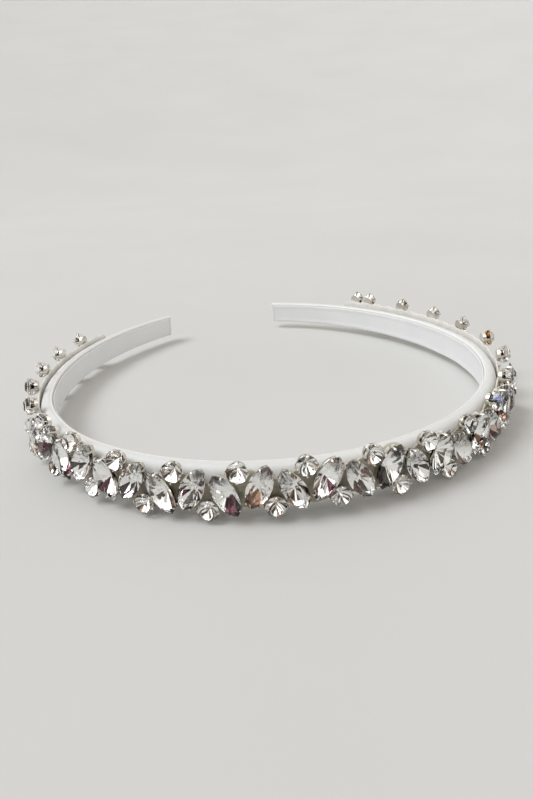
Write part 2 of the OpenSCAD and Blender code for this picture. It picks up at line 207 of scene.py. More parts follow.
def is_upper(k):
    """Whether the round stone of gap k lies in the upper row."""
    return k % 2 == 0 or k == GAP_END_RIGHT


def nest(k):
    """Place of the round stone between navettes k and k + 1, equally near to both."""
    spread = 1 + SETTING_BASE / bend_r(abs(navette_s(k) + PITCH / 2))
    ends = []
    for n, side in ((k, 1), (k + 1, -1)):
        t = lean(n)
        away = side * (NAV_R - NAV_B) * np.array([math.cos(t), math.sin(t)])
        ends.append(np.array([-side * PITCH * spread / 2, navette_rise(n)]) - away)
    a, b = ends
    half = np.linalg.norm(b - a) / 2
    reach = NAV_R + ROUND_D / 2 + NEST_GAP
    up = (1 if is_upper(k) else -1) * math.sqrt(reach ** 2 - half ** 2) / (2 * half)
    p = (a + b) / 2 + up * np.array([a[1] - b[1], b[0] - a[0]])
    return p[0] / spread, p[1]


def gap_place(k):
    """Distance along the band and height of the round stone in gap k."""
    last = NAVETTES - 2
    if 0 <= k <= last:
        ds, rise = nest(k)
        return navette_s(k) + PITCH / 2 + ds, BAND_LOW + rise
    if k < 0:
        s = navette_s(0) + PITCH / 2 + ARM_PITCH_LEFT * k
    else:
        s = navette_s(last) + PITCH / 2 + ARM_PITCH_RIGHT * (min(k, GAP_END_RIGHT - 1) - last)
        s += TWIN_PITCH if k == GAP_END_RIGHT else 0
    return s, BAND_LOW + trim_rise(s) + (ROW_UP if is_upper(k) else -ROW_DOWN)


def navette_seat(k):
    return seat(navette_s(k), BAND_LOW + navette_rise(k), lean(k))


def gap_seat(k):
    return seat(*gap_place(k))


# Node trees. Noise scales are per metre, and bump distances are in metres

# Places of the Mix node's colour sockets
MIX_A, MIX_B, MIX_RESULT = 6, 7, 2


class Nodes:
    """The node tree of a material or a world, with short calls for the nodes that repeat."""

    def __init__(self, owner):
        owner.use_nodes = True
        self.owner, self.tree = owner, owner.node_tree

    def put(self, socket, value):
        """Links an output to a socket, or sets the socket's value."""
        if isinstance(value, bpy.types.NodeSocket):
            self.tree.links.new(value, socket)
        else:
            socket.default_value = value

    def add(self, kind, inputs=None, **settings):
        """Adds a node with its settings, and its inputs by name or by place."""
        node = self.tree.nodes.new("ShaderNode" + kind)
        for key, value in settings.items():
            setattr(node, key, value)
        for key, value in (inputs or {}).items():
            self.put(node.inputs[key], value)
        return node

    def surface(self, **values):
        """Sets or links the shader's own sockets, named with _ for a space."""
        shader = self.tree.nodes["Principled BSDF"]
        for key, value in values.items():
            self.put(shader.inputs[key.replace("_", " ")], value)

    def position(self):
        """The surface's point in the part's frame, in metres."""
        return self.add("TexCoord").outputs["Object"]

    def along(self):
        """The UV map: metres along the band and metres across it."""
        return self.add("UVMap", uv_map="band").outputs["UV"]

    def axis(self, vector, name):
        """The X, Y or Z of a vector."""
        return self.add("SeparateXYZ", {"Vector": vector}).outputs[name]

    def noise(self, coords, scale, detail, stretch=None):
        """Noise of about 0.3 to 0.7 over coordinates, which a stretch multiplies first."""
        if stretch:
            coords = self.add("Mapping", {"Vector": coords, "Scale": stretch}).outputs["Vector"]
        node = self.add("TexNoise", {"Vector": coords, "Scale": scale, "Detail": detail})
        return node.outputs["Fac"]

    def spread(self, value, low, high, start=0.3, end=0.7):
        """Maps start..end of a value to low..high. The default fits noise."""
        ends = {"From Min": start, "From Max": end, "To Min": low, "To Max": high}
        return self.add("MapRange", {"Value": value, **ends}).outputs["Result"]

    def mix(self, share, a, b):
        """The colour that lies a share of the way from a to b."""
        node = self.add("Mix", data_type="RGBA")
        for key, value in (("Factor", share), (MIX_A, a), (MIX_B, b)):
            self.put(node.inputs[key], value)
        return node.outputs[MIX_RESULT]

    def calc(self, operation, a, b=0.0):
        return self.add("Math", {0: a, 1: b}, operation=operation).outputs[0]

    def bump(self, height, distance, strength, under=None):
        """A normal raised by a height, over another bump if there is one."""
        inputs = {"Height": height, "Distance": distance, "Strength": strength}
        if under is not None:
            inputs["Normal"] = under
        return self.add("Bump", inputs).outputs["Normal"]


def material(name):
    return Nodes(bpy.data.materials.new(name))


def rgb(r, g, b):
    return (r, g, b, 1.0)


# Materials

# A painted highlight where the folded inner edge of the satin catches the light, as a distance round
# the band's section from the middle of its outer face
FOLD_HIGHLIGHT_FROM, FOLD_HIGHLIGHT_TO, FOLD_HIGHLIGHT_BLUR = 7.1, 8.0, 0.1


def satin_material():
    """Woven satin with soft pulls, a little cloudy, and a painted highlight along its fold."""
    m = material("satin")
    along = m.along()
    threads = m.noise(along, 5000, 2, (0.12, 1.0, 1.0))
    weft = m.noise(along, 900, 2, (1.0, 0.08, 1.0))
    pulls = m.noise(along, 220, 3, (0.35, 1.0, 1.0))
    blotch = m.noise(m.position(), 45, 4)
    colour = m.mix(m.spread(blotch, 0, 1), rgb(0.78, 0.79, 0.795), rgb(0.84, 0.845, 0.845))
    colour = m.mix(m.spread(threads, 0, 0.5), colour, rgb(0.90, 0.905, 0.90))
    # Painted highlight: a near-white line along the fold, where it catches the light
    across = m.axis(along, "Y")
    rise = m.spread(across, 0, 1, FOLD_HIGHLIGHT_FROM * MM, (FOLD_HIGHLIGHT_FROM + FOLD_HIGHLIGHT_BLUR) * MM)
    fall = m.spread(across, 1, 0, (FOLD_HIGHLIGHT_TO - FOLD_HIGHLIGHT_BLUR) * MM, FOLD_HIGHLIGHT_TO * MM)
    colour = m.mix(m.calc("MULTIPLY", rise, fall), colour, rgb(0.97, 0.97, 0.96))
    weave = m.bump(weft, 0.00004, 0.4, m.bump(threads, 0.00003, 0.5))
    m.surface(
        Base_Color=colour,
        Roughness=m.spread(pulls, 0.46, 0.6),
        Specular_IOR_Level=0.35,
        Anisotropic=0.4,
        Tangent=m.add("Tangent", direction_type="UV_MAP", uv_map="band").outputs["Tangent"],
        Sheen_Weight=0.25,
        Sheen_Roughness=0.45,
        Normal=m.bump(pulls, 0.00012, 0.5, weave),
    )
    return m.owner


def ribbon_material():
    """Ribbed ribbon, a little brighter than the satin."""
    m = material("ribbon")
    along = m.along()
    ribs = m.noise(along, 2600, 1, (1.0, 0.05, 1.0))
    edge = m.noise(along, 1500, 2, (0.2, 1.0, 1.0))
    blotch = m.noise(m.position(), 60, 3)
    colour = m.mix(m.spread(blotch, 0, 1), rgb(0.85, 0.865, 0.88), rgb(0.91, 0.92, 0.93))
    m.surface(
        Base_Color=m.mix(m.spread(ribs, 0, 0.15), colour, rgb(0.94, 0.95, 0.955)),
        Roughness=m.spread(edge, 0.42, 0.58),
        Specular_IOR_Level=0.4,
        Sheen_Weight=0.2,
        Sheen_Roughness=0.4,
        Normal=m.bump(ribs, 0.00002, 0.25, m.bump(edge, 0.00002, 0.3)),
    )
    return m.owner


# Heights between which the strip turns pale, partly the band seen through the sheer tape and partly
# painted light, and distances from the trim's middle between which it turns from the front's colours,
# which hold painted shade, to the arms'
PALE_FROM, PALE_FULL, ARM_FROM, ARM_FULL = 10.2, 12.8, 65, 95


def backing_material():
    """Sheer tape with glue: olive and brown with painted shade at the front, whitish nude on the arms.
    """
    m = material("backing")
    along = m.along()
    weave = m.noise(along, 1800, 2)
    stain = m.noise(m.position(), 160, 4)
    glue = m.noise(m.position(), 700, 3)
    # At the front the tape's olive is darkened to brown with painted shade, where shade falls between
    # the stones
    front = m.mix(m.spread(stain, 0, 1), rgb(0.20, 0.165, 0.095), rgb(0.42, 0.37, 0.26))
    arm = m.mix(m.spread(stain, 0, 1), rgb(0.80, 0.78, 0.73), rgb(0.93, 0.92, 0.90))
    height = m.axis(m.position(), "Z")
    # Paler towards the top: partly the white band seen through the sheer tape, partly painted light
    pale = m.spread(height, 0, 0.9, PALE_FROM * MM, PALE_FULL * MM)
    front = m.mix(pale, front, rgb(0.78, 0.745, 0.64))
    far = m.calc("ABSOLUTE", m.calc("SUBTRACT", m.axis(along, "X"), TRIM_SHIFT * MM))
    colour = m.mix(m.spread(far, 0, 1, ARM_FROM * MM, ARM_FULL * MM), front, arm)
    m.surface(
        Base_Color=m.mix(m.spread(glue, 0, 0.3), colour, rgb(0.86, 0.84, 0.78)),
        Roughness=m.spread(glue, 0.25, 0.5),
        Subsurface_Weight=0.2,
        Subsurface_Radius=(1.0, 0.9, 0.75),
        Subsurface_Scale=0.0006,
        Coat_Weight=0.35,
        Coat_Roughness=0.2,
        Normal=m.bump(weave, 0.00005, 0.5, m.bump(glue, 0.0001, 0.4)),
    )
    return m.owner


def silver_material():
    """Silver plate, tarnished in places and rubbed bright in others."""
    m = material("silver")
    rub = m.noise(m.position(), 900, 4)
    tarnish = m.noise(m.position(), 160, 4)
    colour = m.mix(m.spread(tarnish, 0, 1), rgb(0.42, 0.39, 0.33), rgb(0.78, 0.75, 0.70))
    m.surface(
        Base_Color=m.mix(m.spread(rub, 0, 0.3), colour, rgb(0.92, 0.90, 0.87)),
        Metallic=1.0,
        Roughness=m.spread(rub, 0.12, 0.26),
        Normal=m.bump(rub, 0.00004, 0.25),
    )
    return m.owner


def glass_material():
    """Clear glass with faint wipe marks. The foil behind it does most of the mirroring."""
    m = material("crystal")
    wipe = m.noise(m.position(), 400, 3)
    m.surface(
        Base_Color=m.mix(m.spread(wipe, 0, 1), rgb(0.97, 0.975, 0.97), rgb(1.0, 1.0, 1.0)),
        Transmission_Weight=1.0,
        Roughness=m.spread(wipe, 0.0, 0.015),
        IOR=1.36,
    )
    return m.owner


def foil_material():
    """Mirror foil behind the facets, each with a tint, often a painted reflection, and as alpha
    softness.
    """
    m = material("foil")
    facet = m.add("Attribute", attribute_name="facet")
    softness = m.spread(facet.outputs["Alpha"], 0, 0.09, 0, 1)
    mottle = m.noise(m.position(), 1500, 3)
    m.surface(
        Base_Color=m.mix(m.spread(mottle, 0, 0.04), facet.outputs["Color"], rgb(0.75, 0.72, 0.66)),
        Metallic=1.0,
        Roughness=m.calc("ADD", m.spread(mottle, 0.02, 0.07), softness),
    )
    return m.owner


SATIN, RIBBON, BACKING = satin_material(), ribbon_material(), backing_material()
SILVER, GLASS, FOIL = silver_material(), glass_material(), foil_material()

# Tints of foil facets: a colour, and a softness from 0 for a sharp mirror to 1. WHITE, CLEAR and PALE
# are the foil's own near-white. The others are painted reflections: grey, nude, charcoal, brown and
# burgundy ones of the things round the stones, and violet, amber and honey glints
WHITE = (0.98, 0.98, 0.975, 0.0)
CLEAR = (0.93, 0.93, 0.915, 0.0)
PALE = (0.82, 0.81, 0.775, 0.0)
NUDE = (0.55, 0.44, 0.38, 0.0)
GREY = (0.40, 0.39, 0.37, 0.0)
CHARCOAL = (0.06, 0.055, 0.05, 0.0)
BROWN = (0.16, 0.09, 0.06, 0.0)
BURGUNDY = (0.075, 0.022, 0.034, 0.0)
AMBER = (0.80, 0.33, 0.06, 0.0)
HONEY = (0.95, 0.72, 0.42, 0.0)
VIOLET = (0.40, 0.45, 0.90, 0.0)


# Meshes

class Shape:
    """Points in millimetres and faces, each face with a material index and a tint."""

    def __init__(self):
        self.points, self.faces, self.slots, self.tints = [], [], [], []
        self.uvs = None

    def add(self, points, faces, slots=None, tints=None):
        base = len(self.points)
        self.points += [tuple(p) for p in points]
        self.faces += [tuple(base + i for i in f) for f in faces]
        self.slots += slots or [0] * len(faces)
        self.tints += tints or [WHITE] * len(faces)

    def add_at(self, axes, origin, other):
        """Adds a copy of another shape, placed by its axes and origin."""
        self.add(np.array(other.points) @ axes + origin, other.faces, other.slots, other.tints)

    def piece(self, name, materials, nodes, slot, smooth=None):
        """Makes the object for the CAD nodes. Edges of up to smooth degrees are shaded smooth."""
        mesh = bpy.data.meshes.new(name)
        mesh.from_pydata([Vector(p) * MM for p in self.points], [], self.faces)
        for m in materials:
            mesh.materials.append(m)
        mesh.polygons.foreach_set("material_index", self.slots)
        if self.uvs is not None:
            layer = mesh.uv_layers.new(name="band")
            for loop in mesh.loops:
                layer.data[loop.index].uv = self.uvs[loop.vertex_index]
        if FOIL in materials:
            layer = mesh.color_attributes.new("facet", "FLOAT_COLOR", "CORNER")
            for face, tint in zip(mesh.polygons, self.tints):
                for i in face.loop_indices:
                    layer.data[i].color = tint
        work = bmesh.new()
        work.from_mesh(mesh)
        bmesh.ops.recalc_face_normals(work, faces=work.faces)
        work.to_mesh(mesh)
        work.free()
        if smooth is not None:
            mesh.shade_smooth()
            mesh.set_sharp_from_angle(angle=math.radians(smooth))
        piece = bpy.data.objects.new(name, mesh)
        bpy.context.scene.collection.objects.link(piece)
        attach(piece, "root")
        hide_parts(*nodes)


def tube_faces(rings, count, capped=True):
    """Faces through rings of count points each, with a cap on the first and the last."""
    faces = [(r * count + i, r * count + (i + 1) % count, (r + 1) * count + (i + 1) % count,
              (r + 1) * count + i) for r in range(rings - 1) for i in range(count)]
    if capped:
        faces += [tuple(range(count - 1, -1, -1)), tuple(range((rings - 1) * count, rings * count))]
    return faces


def sweep(rings, distances):
    """A closed solid through rings of equal point count, at distances along the band."""
    shape = Shape()
    shape.add([p for ring in rings for p in ring], tube_faces(len(rings), len(rings[0])))
    middle = np.array(rings[len(rings) // 2])
    across = np.concatenate([[0], np.cumsum(np.linalg.norm(np.diff(middle, axis=0), axis=1))])
    shape.uvs = [(s * MM, a * MM) for s in distances for a in across]
    return shape


def stations(start, end, count, radius):
    """Distances from start to end with the inset of each ring, so that both ends are rounded."""
    steps = 5
    quarter = [math.pi / 2 * i / steps for i in range(steps)]
    first = [(start + radius * (1 - math.cos(t)), radius * (1 - math.sin(t))) for t in quarter]
    run = end - start - 2 * radius
    inner = [(start + radius + run * i / count, 0.0) for i in range(count + 1)]
    last = [(start + end - s, inset) for s, inset in reversed(first)]
    return first + inner + last


# Band

BAND_STEPS, BAND_END_ROUND = 380, 0.45
DOME_STEPS, CORNER_STEPS = 26, 5
# Depth of the satin's pulls, and the distance out below which they fade
PULL_DEPTH, PULL_FADE = 0.14, 1.2
# Seam where the satin folds over the band's inner edges: distance out and depth
SEAM = [(0.98, 0.04), (0.84, 0.14), (0.72, 0.15), (0.6, 0.03)]


def band_half(s):
    """Half of the band's width at distance s."""
    u = max(0.0, (abs(s) / HALF_LEN - TAPER_START) / (1 - TAPER_START))
    return BAND_W / 2 * (1 - BAND_TAPER * u)


def pull(s, v):
    """Depth from 0 to 1 of the satin's soft pulls at distance s and v across the band.

    It is a sum of waves, whose turns are in radians per millimetre along the band.
    """
    lengthwise = math.sin(0.11 * s + 3.1 * v) * math.sin(0.037 * s + 1.3)
    slanted = math.sin(0.62 * s + 4.2 * v + 1.5 * math.sin(0.05 * s))
    return 0.5 + 0.3 * lengthwise + 0.2 * slanted * math.sin(0.021 * s + 0.4) ** 2


def band_ring(s, inset):
    """Section of the band at distance s, from the middle of the dome up and round."""
    half = band_half(s)
    upper = []
    for i in range(DOME_STEPS + 1):
        v = math.sin(DOME_END * i / DOME_STEPS)
        upper.append((BAND_T * (1 - v ** DOME_POWER) ** (1 / DOME_POWER), half * v))
    upper += [(o, half - sink) for o, sink in SEAM]
    for i in range(CORNER_STEPS + 1):
        t = math.pi / 2 * i / CORNER_STEPS
        upper.append((BAND_CORNER * (1 - math.sin(t)), half - BAND_CORNER * (1 - math.cos(t))))
    points = []
    for o, z in upper + [(o, -z) for o, z in reversed(upper[1:])]:
        o -= PULL_DEPTH * pull(s, z / half) * min(1.0, o / PULL_FADE)
        o = BAND_T / 2 + (o - BAND_T / 2) * (1 - inset / (BAND_T / 2))
        points.append(place(s, o, BAND_MID + z * (1 - inset / half)))
    return points


def make_band():
    rings = stations(-HALF_LEN, HALF_LEN, BAND_STEPS, BAND_END_ROUND)
    shape = sweep([band_ring(s, inset) for s, inset in rings], [s for s, _ in rings])
    shape.piece("satin_band", [SATIN], ["band"], "satin", smooth=50)


# Lining

LINING_STEPS, LINING_END_ROUND = 360, 0.2
HEM_W, HEM_DIP, HEM_SLOPE, HEM_SWAY = 0.9, 0.1, 0.25, 0.10


def sway(s):
    """How far the ribbon's edges stray at distance s, as waves that swell and fade along it."""
    return HEM_SWAY * math.sin(0.35 * s + 0.8 * math.sin(0.04 * s)) * math.sin(0.045 * s) ** 2


def lining_ring(s, inset):
    """Section of the lining at distance s: round edges, hems and a slightly sunken middle."""
    half = band_half(s) - LINING_INSET - inset + sway(s)
    near, far, edge = -LAYER_GAP, -LAYER_GAP - LINING_T, LINING_T / 2
    arc = [math.pi * i / 8 for i in range(9)]
    side = [(near - edge * (1 - math.cos(t)), half - edge + edge * math.sin(t)) for t in arc]
    hem = [(far, half - HEM_W), (far + HEM_DIP, half - HEM_W - HEM_SLOPE)]
    flat = [(far + HEM_DIP, half * u) for u in (0.5, 0.0)]
    top = side + hem + flat
    ring = top + [(o, -z) for o, z in reversed(top[:-1])]
    return [place(s, o, BAND_MID + z) for o, z in ring]


def make_lining():
    end = HALF_LEN - LINING_END
    rings = stations(-end, end, LINING_STEPS, LINING_END_ROUND)
    shape = sweep([lining_ring(s, inset) for s, inset in rings], [s for s, _ in rings])
    shape.piece("lining_ribbon", [RIBBON], ["lining"], "ribbon", smooth=50)


# Backing strip

STRIP_STEPS, STRIP_END_ROUND = 620, 0.2
# Stretch over which the strip's two ends narrow, and what they narrow to
STRIP_TIP, STRIP_TIP_SHARE = 4.0, 0.35
# Least height of the part that bends back, share of the bend at its foot, the power of its curve,
# and its ruffles
BEND_LEAST, BEND_FOOT, BEND_POWER, RUFFLE = 0.6, 0.03, 1.3, 0.05
# Small lobes of the strip's two edges: distance along the band, reach past the edge, half width
UPPER_LOBES = [(navette_s(3), 1.4, 3.6), (navette_s(9), 0.8, 3.4), (navette_s(19), 1.6, 3.8)]
LOWER_LOBES = [(navette_s(11) - 2.5, 0.9, 4.6), (navette_s(5), 0.4, 3.2), (navette_s(17), 0.5, 3.0)]
# Waves of its two edges: height, turn in radians per millimetre, and start. Then the share of the
# upper ones that is left at the front
UPPER_WAVES = [(0.2, 1.1, 0), (0.12, 2.7, 1)]
LOWER_WAVE = (0.12, 1.3, 2)
FRONT_WAVE = 0.6


def lobe(s, middle, half):
    """Height from 0 to 1 at distance s of a round lobe."""
    d = abs(s - middle) / half
    return math.sqrt(1 - d * d) if d < 1 else 0.0


def wave(s, height, turn, start):
    """Height at distance s of an even wave."""
    return height * math.sin(turn * s + start)


def backing_edges(s, left, right):
    """Lower edge, upper edge and bend back of the upper edge of the strip at distance s."""
    middle, u = BAND_LOW + trim_rise(s), arm_share(s)
    d = min(1.0, max(0.0, min(s - left, right - s)) / STRIP_TIP)
    narrow = STRIP_TIP_SHARE + (1 - STRIP_TIP_SHARE) * math.sqrt(1 - (1 - d) ** 2)
    scallop = SCALLOP_H * math.cos(math.pi * (s - navette_s(0) - PITCH / 2) / PITCH)
    waves = sum(wave(s, *w) for w in UPPER_WAVES) * (FRONT_WAVE + (1 - FRONT_WAVE) * u)
    up = BACKING_UP_FRONT + scallop + max(h * lobe(s, m, w) for m, h, w in UPPER_LOBES)
    up = up * (1 - u) + BACKING_UP_ARM * u + waves
    down = BACKING_DOWN_FRONT + max(h * lobe(s, m, w) for m, h, w in LOWER_LOBES)
    down = down * (1 - u) + BACKING_DOWN_ARM * u - LOWER_WAVE[0] - wave(s, *LOWER_WAVE)
    raised = lobe(s, LOBE_S, LOBE_W / 2)
    high = middle + max(up * narrow, (BAND_LOW + LOBE_TOP - middle) * raised)
    bent = max(0.0, high - BAND_LOW - BEND_H) / (LOBE_TOP - BEND_H) if raised else 0.0
    return middle - down * narrow, high, LOBE_BACK * bent


def backing_ring(s, inset, left, right):
    """Section of the strip at distance s: a thin tape that stands flat and bends back at its top."""
    low, high, back = backing_edges(s, left, right)
    middle = (BACKING_IN + BACKING_OUT) / 2
    thin = BACKING_T / 2 * (1 - inset / (2 * STRIP_END_ROUND))
    knee = min(high - BEND_LEAST, BAND_LOW + BEND_H)
    ruffle = RUFFLE * math.sin(1.9 * s + 0.7 * math.sin(0.3 * s))
    centre = [(middle, low + thin), (middle, (low + knee) / 2), (middle - BEND_FOOT * back, knee)]
    for u in (1 / 3, 2 / 3, 1):
        out = middle - back * u ** BEND_POWER + ruffle * (u - 1)
        centre.append((out, knee + (high - thin - knee) * u))
    arc = [math.pi * i / 6 for i in range(1, 6)]
    outer = [(o + thin, z) for o, z in centre]
    inner = [(o - thin, z) for o, z in reversed(centre)]
    tip_o, tip_z = centre[-1]
    top = [(tip_o + thin * math.cos(a), tip_z + thin * math.sin(a)) for a in arc]
    bottom = [(middle - thin * math.cos(a), low + thin - thin * math.sin(a)) for a in arc]
    return [place(s, o, z) for o, z in outer + top + inner + bottom]


def make_backing():
    left = gap_place(GAP_END_LEFT)[0] - STRIP_PAST
    right = gap_place(GAP_END_RIGHT)[0] + STRIP_PAST
    rings = stations(left, right, STRIP_STEPS, STRIP_END_ROUND)
    shape = sweep([backing_ring(s, inset, left, right) for s, inset in rings], [s for s, _ in rings])
    shape.piece("backing_strip", [BACKING], ["trim_backing"], "backing", smooth=50)


# Stones

FACET_STEPS = 4
ROUND_MAINS, NAVETTE_MAINS = 16, 10
ROUND_SEED, NAVETTE_SEED = 500, 100
# Size of the pavilion's flat end as a share of the outline, across and along
ROUND_KEEL, NAVETTE_KEEL = (0.03, 0.03), (0.1, 0.16)
# Height share over which a pavilion is pale, and those up to which painted reflections of dark and
# coloured things may lie
PALE_ABOVE, ROUND_REACH, NAVETTE_REACH = 0.1, 0.8, -0.2
# Height share over which a navette's facets are broken by a dent, and the dents' depths
DENTS_ABOVE, DENT_LOW, DENT_HIGH = -0.3, -0.25, 0.3
# The power that blunts a navette's points
POINT_POWER = 8
# Gaps of the two stones with painted coloured reflections: a violet glint, and amber all over the
# other
VIOLET_GLINT_STONE, AMBER_REFLECTION_STONE = 18, 24


def round_outline(t, grow=0.0):
    """Point of a round stone's outline at share t of a turn, grown outward."""
    r = ROUND_D / 2 + grow
    return np.array([r * math.cos(2 * math.pi * t), r * math.sin(2 * math.pi * t)])


def navette_outline(t, grow=0.0):
    """The same for a navette: two arcs that are drawn in to rounded points at its ends."""
    a, b = NAV_A + grow * POINT_STRETCH, NAV_B + grow
    r = (a * a + b * b) / (2 * b)
    end = a - NAVETTE_TIP
    turn = math.asin(end / r)
    t = (t + 0.25) % 1.0
    side = 1 if t < 0.5 else -1
    u = turn * (4 * (t % 0.5) - 1)
    x, y = r * math.cos(u) - r + b, r * math.sin(u)
    blunt = r * math.cos(turn) - r + b
    return side * np.array([x - blunt * abs(y / end) ** POINT_POWER, y])


def height_share(i, count):
    """Height of facet i of a pavilion that starts at its top: 1 at the top, -1 at the bottom."""
    return math.cos(2 * math.pi * (i + 0.5) / count)


def pavilion_tints(draw, count, painted_reflections, reach):
    """Tints round a pavilion: pale above, lighter below, and painted reflections up to a height share.
    """
    tints = []
    for i in range(count):
        below = height_share(i, count) < PALE_ABOVE
        tints.append(draw.choice([WHITE, WHITE, CLEAR, PALE] if below else [WHITE, CLEAR, CLEAR]))
    low = [i for i in range(count) if height_share(i, count) < reach]
    for i, tint in zip(draw.sample(low, min(len(low), len(painted_reflections))), painted_reflections):
        tints[i] = tint
    return tints


def cut_stone(outline, seat_z, pavilion, crown, keel, tints, dents):
    """A pointed back and a flat table. Glass down to the girdle, foil below it.

    The pavilion has a main facet for each tint. One whose dent isn't 0 is broken into small facets
    round a middle that lies that much deeper.
    """
    mains = len(tints)
    n = mains * FACET_STEPS
    high = seat_z + GIRDLE

    def ring(count, share, z):
        points = [outline(i / count + 0.25) for i in range(count)]
        return [(x * share[0], y * share[1], z) for x, y in points]

    points = ring(mains, (TABLE_SHARE, TABLE_SHARE), high + crown) + ring(n, (1, 1), high)
    points += ring(n, (1, 1), seat_z) + ring(mains, keel, seat_z - pavilion)
    upper, lower, bottom = mains, mains + n, mains + 2 * n
    glass = [tuple(range(mains))]
    foil = [tuple(range(bottom + mains - 1, bottom - 1, -1))]
    foil_tints = [CLEAR]
    for i, (tint, dent) in enumerate(zip(tints, dents)):
        j = (i + 1) % mains
        edge = [(FACET_STEPS * i + q) % n for q in range(FACET_STEPS + 1)]
        glass.append((j, i, *[upper + q for q in edge]))
        facet = (bottom + i, bottom + j, *[lower + q for q in reversed(edge)])
        if dent:
            middle = sum(np.array(points[q]) for q in facet) / len(facet) - [0, 0, dent]
            foil += [(facet[q - 1], facet[q], len(points)) for q in range(len(facet))]
            # Dented facets take their tint and white by turns: painted crackle reflections, all soft
            foil_tints += [(*(tint, WHITE)[q % 2][:3], 1.0) for q in range(len(facet))]
            points.append(tuple(middle))
        else:
            foil.append(facet)
            foil_tints.append(tint)
    glass += [(upper + i, lower + i, lower + (i + 1) % n, upper + (i + 1) % n) for i in range(n)]
    shape = Shape()
    shape.add(points, glass + foil, [0] * len(glass) + [1] * len(foil),
              [CLEAR] * len(glass) + foil_tints)
    return shape


def round_stone(k):
    draw = random.Random(ROUND_SEED + k)
    # Painted reflections of dark, brown and nude things round the stone
    painted_reflections = [CHARCOAL, BROWN, NUDE, draw.choice([GREY, CHARCOAL])]
    # A painted violet glint
    if k == VIOLET_GLINT_STONE:
        painted_reflections = [VIOLET, CHARCOAL]
    tints = pavilion_tints(draw, ROUND_MAINS, painted_reflections, ROUND_REACH)
    # A painted amber reflection over the whole back of the stone
    if k == AMBER_REFLECTION_STONE:
        tints = [draw.choice([AMBER, AMBER, HONEY, BROWN]) for _ in tints]
    return cut_stone(round_outline, ROUND_SEAT, ROUND_PAVILION, ROUND_CROWN, ROUND_KEEL, tints,
                     [0] * ROUND_MAINS)


def navette_stone(k):
    draw = random.Random(NAVETTE_SEED + k)
    # Painted reflections: a burgundy or brown wedge and a brown, nude or charcoal one
    painted_reflections = [draw.choice([BURGUNDY, BROWN]), draw.choice([BROWN, NUDE, CHARCOAL])]
    tints = pavilion_tints(draw, NAVETTE_MAINS, painted_reflections, NAVETTE_REACH)
    dents = [draw.uniform(DENT_LOW, DENT_HIGH) if height_share(i, NAVETTE_MAINS) > DENTS_ABOVE else 0
             for i in range(NAVETTE_MAINS)]
    return cut_stone(navette_outline, NAVETTE_SEAT, NAVETTE_PAVILION, NAVETTE_CROWN, NAVETTE_KEEL,
                     tints, dents)


def make_crystals(name, node, seats_and_stones):
    """One piece of placed stones, which stands for a CAD node."""
    shape = Shape()
    for (axes, origin), stone in seats_and_stones:
        shape.add_at(axes, origin, stone)
    shape.piece(name, [GLASS, FOIL], [node], "crystal")


def make_stones():
    for k in range(NAVETTES):
        node = f"navette_{k + 1:02d}"
        make_crystals("crystal_" + node, node, [(navette_seat(k), navette_stone(k))])
    for k in range(GAP_FIRST, GAP_LAST + 1):
        node = f"round_{k - GAP_FIRST + 1:02d}"
        make_crystals("crystal_" + node, node, [(gap_seat(k), round_stone(k))])
    for side, gaps in (("left", range(GAP_END_LEFT, GAP_FIRST)),
                       ("right", range(GAP_LAST + 1, GAP_END_RIGHT + 1))):
        stones = [(gap_seat(k), round_stone(k)) for k in gaps]
        make_crystals("crystals_arm_" + side, "arm_stones_" + side, stones)


# Settings

CUP_SIDES, POD_SIDES, POD_SLIM = 36, 48, 0.8
ROD_SIDES, ROD_SQUARE = 8, 0.55
# Share of a turn between the points from which an outline's tangent is taken
TANGENT_STEP = 0.002
# Shares of a turn at which the claws stand
FOOT_SHARE = math.asin(CLAW_PLACE * NAVETTE_L / 2 / NAV_R) / math.asin(NAVETTE_L / 2 / NAV_R) / 4
ROUND_FEET = [(CLAW_TURN + 90 * i) / 360 for i in range(4)]
NAVETTE_FEET = [side + tip for side in (0.0, 0.5) for tip in (-FOOT_SHARE, FOOT_SHARE)]


def rod(path, widths, depths, across):
    """Points and faces of a rounded bar along a path, as wide along across and as deep as listed."""
    points = []
    for i, p in enumerate(path):
        ahead = path[min(i + 1, len(path) - 1)] - path[max(i - 1, 0)]
        normal = np.cross(across, ahead / np.linalg.norm(ahead))
        for j in range(ROD_SIDES):
            t = 2 * math.pi * (j + 0.5) / ROD_SIDES
            c, n = math.cos(t), math.sin(t)
            square = max(abs(c), abs(n)) ** ROD_SQUARE
            points.append(p + (across * widths[i] * c + normal * depths[i] * n) / 2 / square)
    return points, tube_faces(len(path), ROD_SIDES)


def claw(foot, out, along, seat_z, slim):
    """A claw that leans out from the cup to the stone's edge at foot and bends over it."""
    high = seat_z + GIRDLE
    profile = [(-1.05, 0.15), (-0.8, 0.4), (-0.3, seat_z * 0.56), (0.06, seat_z - 0.25),
               (0.12, high + 0.05), (0.10, high + 0.28), (0.02, high + 0.47), (-0.11, high + 0.60),
               (-0.26, high + 0.68), (-0.38, high + 0.71)]
    widths = [0.68, 0.7, 0.66, 0.64, 0.62, 0.62, 0.6, 0.56, 0.46, 0.26]
    depths = [0.24, 0.28, 0.26, 0.24, 0.24, 0.26, 0.28, 0.26, 0.20, 0.12]
    path = [foot + out * o + np.array([0, 0, z]) for o, z in profile]
    return rod(path, [w * slim for w in widths], [d * slim for d in depths], along)


